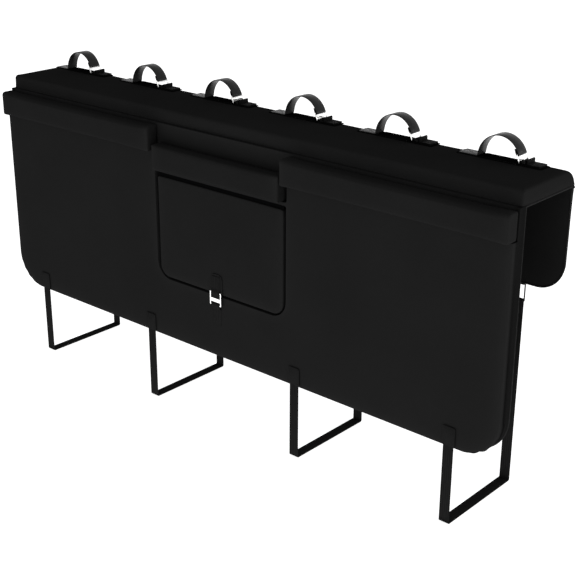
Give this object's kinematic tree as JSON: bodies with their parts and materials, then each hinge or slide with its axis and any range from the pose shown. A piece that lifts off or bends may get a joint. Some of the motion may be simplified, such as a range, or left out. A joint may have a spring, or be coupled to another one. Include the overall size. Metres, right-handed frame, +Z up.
{
  "type": "tailgate bike pad",
  "caption": "Padded cover that hangs over a pickup tailgate and straps bicycles down by their down tubes.",
  "frame": {"origin": "middle of the seat, the flat underside of the top panel that rests on the tailgate's top edge", "axes": "+Z up, +X across the truck to the right as the front panel is looked at, +Y from the front panel into the truck's bed"},
  "size_m": [1.55, 0.2594, 0.8097],
  "materials": {
    "cover_fabric": "matt black coated polyester",
    "strap_webbing": "woven black nylon with a slight sheen",
    "base_tape": "matt black tape",
    "plated_steel": "bright plated",
    "black_plastic": "moulded, fine grain"
  },
  "bodies": {
    "root": {"front_panel": "cover_fabric", "top_panel": "cover_fabric", "back_flap": "cover_fabric", "bolster_left": "cover_fabric", "bolster_middle": "cover_fabric", "bolster_right": "cover_fabric", "window_flap": "cover_fabric", "window_hinge_tape": "base_tape", "closure_patch": "strap_webbing", "closure_buckle": "plated_steel", "closure_strap": "strap_webbing", "strap_base_1": "base_tape", "strap_base_2": "base_tape", "strap_base_3": "base_tape", "strap_base_4": "base_tape", "strap_base_5": "base_tape", "strap_base_6": "base_tape", "tube_strap_1": "strap_webbing", "tube_strap_2": "strap_webbing", "tube_strap_3": "strap_webbing", "tube_strap_4": "strap_webbing", "tube_strap_5": "strap_webbing", "tube_strap_6": "strap_webbing", "tube_ring_1": "plated_steel", "tube_ring_2": "plated_steel", "tube_ring_3": "plated_steel", "tube_ring_4": "plated_steel", "tube_ring_5": "plated_steel", "tube_ring_6": "plated_steel", "ring_keeper_1": "strap_webbing", "ring_keeper_2": "strap_webbing", "ring_keeper_3": "strap_webbing", "ring_keeper_4": "strap_webbing", "ring_keeper_5": "strap_webbing", "ring_keeper_6": "strap_webbing", "under_strap_1": "strap_webbing", "under_strap_2": "strap_webbing", "under_strap_3": "strap_webbing", "under_strap_4": "strap_webbing", "front_patch_1": "strap_webbing", "front_patch_2": "strap_webbing", "front_patch_3": "strap_webbing", "front_patch_4": "strap_webbing", "strap_adjuster_1": "black_plastic", "strap_adjuster_2": "black_plastic", "strap_adjuster_3": "black_plastic", "strap_adjuster_4": "black_plastic", "rear_tab_1": "strap_webbing", "rear_tab_2": "strap_webbing", "rear_tab_3": "strap_webbing", "rear_tab_4": "strap_webbing"}
  },
  "joints": []
}
